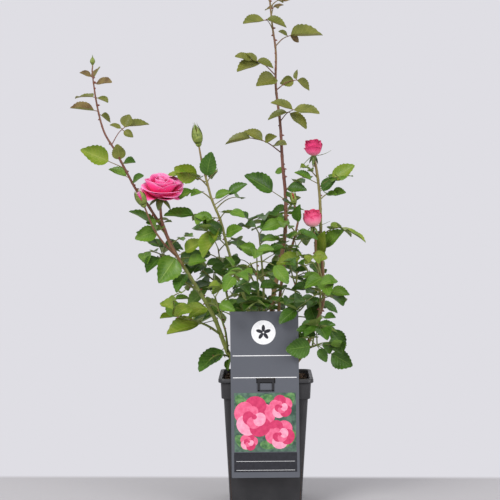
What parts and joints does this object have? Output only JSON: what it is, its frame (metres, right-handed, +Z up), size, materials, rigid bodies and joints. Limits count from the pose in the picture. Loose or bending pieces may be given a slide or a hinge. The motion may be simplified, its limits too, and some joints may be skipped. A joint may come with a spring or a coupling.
{
  "type": "potted rose bush",
  "caption": "Young rose bush with upright leafy canes, pink blooms and buds, in a square nursery pot with a label card clipped to the rim.",
  "frame": {"origin": "centre of the pot's flat underside, on the ground plane", "axes": "+Z up along the plant, -Y towards the label card's face, +X to the plant's right as seen from the card"},
  "size_m": [0.482, 0.3425, 0.8236],
  "materials": {
    "pot": "satin black moulded plastic",
    "soil": "dark crumbly potting compost",
    "card": "slate grey printed plastic card",
    "clip": "black moulded plastic",
    "bark": "smooth green to red-brown cane bark",
    "leaf": "satin green leaves, bronze when young",
    "petal": "soft deep pink petals with paler edges",
    "bud": "green sepals closed on a pink bud"
  },
  "bodies": {
    "root": {"pot": "pot", "soil": "soil", "label_card": "card", "label_clip": "clip", "stem": "bark", "cane_left": "bark", "cane_left_leader": "bark", "cane_centre_left": "bark", "cane_centre": "bark", "cane_tall": "bark", "cane_inner_right": "bark", "cane_right": "bark", "cane_right_fork": "bark", "cane_back_left": "bark", "cane_back": "bark", "cane_back_right": "bark", "shoot_left_mid": "bark", "shoot_left_low": "bark", "shoot_low_left": "bark", "shoot_sprig_left": "bark", "shoot_right_mid": "bark", "shoot_right_low": "bark", "foliage_left_leader": "leaf", "foliage_left_bloom": "leaf", "foliage_left_mid": "leaf", "foliage_left_low": "leaf", "foliage_sprig_left": "leaf", "foliage_centre_left": "leaf", "foliage_low_left": "leaf", "foliage_centre": "leaf", "foliage_tall": "leaf", "foliage_inner_right": "leaf", "foliage_right_upper": "leaf", "foliage_right_mid": "leaf", "foliage_right_low": "leaf", "foliage_back_left": "leaf", "foliage_back": "leaf", "foliage_back_right": "leaf", "bloom_large": "petal", "bloom_right_upper": "petal", "bloom_right_lower": "petal", "bud_left": "bud", "bud_centre_left": "bud", "bud_inner_right": "bud"}
  },
  "joints": []
}
